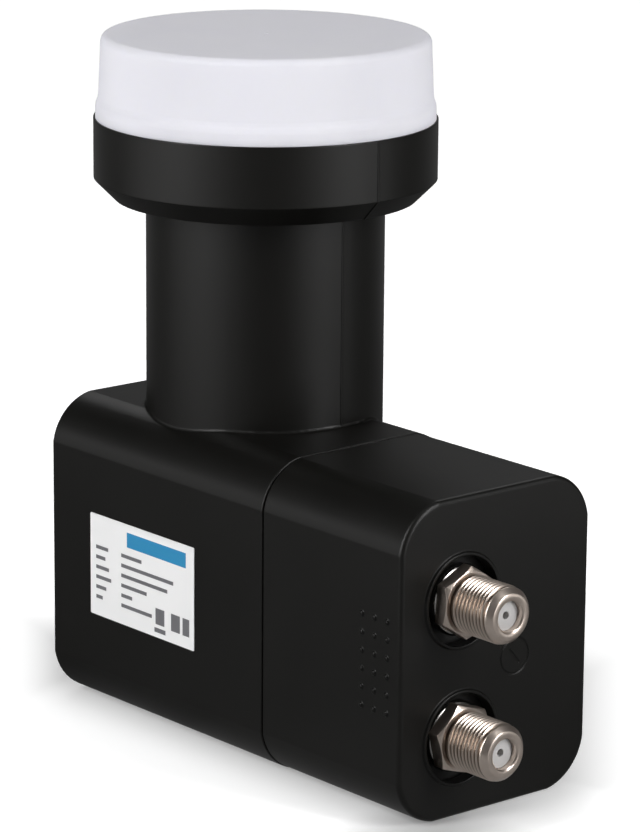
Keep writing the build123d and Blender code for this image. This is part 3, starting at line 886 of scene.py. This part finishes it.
# Painted shadow on the floor: 1 clear of it, lower inside the soft-edged patch and the corner spot
def paintedFloorShadow(tree, setup):
    place = objectPlace(tree)
    outside = -1.0  # lower than any edge gives
    for turn, distance, steepness in setup["shadeEdges"]:
        angle = math.radians(turn)
        slope = (math.cos(angle) * steepness, math.sin(angle) * steepness, 0)
        along = vector2(tree, "DOT_PRODUCT", place, slope)
        past = math2(tree, "SUBTRACT", along, distance * steepness * mm)
        outside = math2(tree, "MAXIMUM", outside, past)
    shadeIn, shadeOut = setup["shadeReach"]
    clear = ramp(tree, outside, shadeIn * mm, shadeOut * mm)
    offset = vector2(tree, "SUBTRACT", place, (*(v * mm for v in setup["cornerShade"]), 0))
    scaled = vector2(tree, "DIVIDE", offset, (*(v * mm for v in setup["cornerReach"]), 1))
    corner = math2(tree, "MINIMUM", vectorLength(tree, scaled), 1.0)
    outsidePaintedShadow = math2(tree, "MAXIMUM", clear, setup["shadeDepth"])
    return math2(tree, "MULTIPLY", outsidePaintedShadow, corner)


def addFloor(setup):
    bpy.ops.mesh.primitive_plane_add(size=setup["floorSize"])
    floor = bpy.context.object
    floor.name = "studioFloor"
    material, tree, shader = newMaterial("paleFloor")
    shader.inputs["Roughness"].default_value = 1.0
    shader.inputs["Specular IOR Level"].default_value = 0.0
    path = addNode(tree, "ShaderNodeLightPath")
    seen = math2(tree, "MAXIMUM", path.outputs["Is Camera Ray"], path.outputs["Is Glossy Ray"])
    seen = math2(tree, "MAXIMUM", seen, path.outputs["Is Transmission Ray"])
    # the painted shadow darkens the floor's colour and lowers its lift
    outsidePaintedShadow = paintedFloorShadow(tree, setup)
    feed(tree, spread(tree, outsidePaintedShadow, *setup["floorGrey"]), shader.inputs["Base Color"])
    lift = addNode(tree, "ShaderNodeEmission")
    added = math2(tree, "MULTIPLY", outsidePaintedShadow, setup["floorLift"])
    feed(tree, math2(tree, "MULTIPLY", seen, added), lift.inputs["Strength"])
    both = addNode(tree, "ShaderNodeAddShader")
    feed(tree, shader.outputs["BSDF"], both.inputs[0])
    feed(tree, lift.outputs["Emission"], both.inputs[1])
    feed(tree, both.outputs["Shader"], findNode(tree, "OUTPUT_MATERIAL").inputs["Surface"])
    floor.data.materials.append(material)


def addSoftBox(name, turn, lift, distance, width, height, brightness):
    towards = pointing(cameraSetup["azimuth"] + turn, lift)
    aim = Vector((0, 0, cameraSetup["aimHeight"] * mm))
    bpy.ops.object.light_add(type="AREA", location=aim + towards * distance)
    lamp = bpy.context.object
    lamp.name = name
    lamp.rotation_euler = towards.to_track_quat("Z", "Y").to_euler()
    lamp.data.shape = "RECTANGLE"
    lamp.data.size = width
    lamp.data.size_y = height
    lamp.data.energy = brightness * studio["boxPower"] * width * height


def addSky(setup):
    world = bpy.data.worlds.new("studioSky")
    bpy.context.scene.world = world
    world.use_nodes = True
    tree = world.node_tree
    place = addNode(tree, "ShaderNodeTexCoord")
    height = splitAxes(tree, place.outputs["Generated"])["Z"]
    strength = ramp(tree, height, 0.0, setup["skyRise"], setup["skyLow"], setup["skyHigh"])
    feed(tree, strength, tree.nodes["Background"].inputs["Strength"])


# Glowing card seen only in gloss: painted reflections, with pools of painted highlight round the camera
def addPaintedReflectionCard(setup):
    bpy.ops.mesh.primitive_plane_add(size=setup["floorSize"], location=(0, 0, setup["cardLift"]))
    card = bpy.context.object
    card.name = "paintedReflectionCard"
    material, tree, shader = newMaterial("paintedReflectionCard")
    tree.nodes.remove(shader)
    place = objectPlace(tree)
    far = ramp(tree, vectorLength(tree, place), *setup["poolFrom"])
    direction = addNode(tree, "ShaderNodeVectorMath", operation="NORMALIZE")
    feed(tree, place, direction.inputs[0])
    total = setup["paintedReflectionGrey"]
    for turn, reach, near, bright in setup["pools"]:
        poolMiddle = pointing(cameraSetup["azimuth"] + turn)
        along = vector2(tree, "DOT_PRODUCT", direction.outputs["Vector"], poolMiddle)
        inPool = ramp(tree, along, math.cos(math.radians(reach)), 1.0)
        level = spread(tree, far, near, bright)
        total = math2(tree, "ADD", total, math2(tree, "MULTIPLY", inPool, level))
    glow = addNode(tree, "ShaderNodeEmission")
    feed(tree, total, glow.inputs["Strength"])
    feed(tree, glow.outputs["Emission"], findNode(tree, "OUTPUT_MATERIAL").inputs["Surface"])
    card.data.materials.append(material)
    card.visible_camera = False
    card.visible_diffuse = False
    card.visible_shadow = False
    card.visible_transmission = False


addFloor(studio)
addPaintedReflectionCard(studio)
for box in studio["boxes"]:
    addSoftBox(*box)
addSky(studio)
bpy.context.scene.view_settings.view_transform = "Standard"
print("studio set")
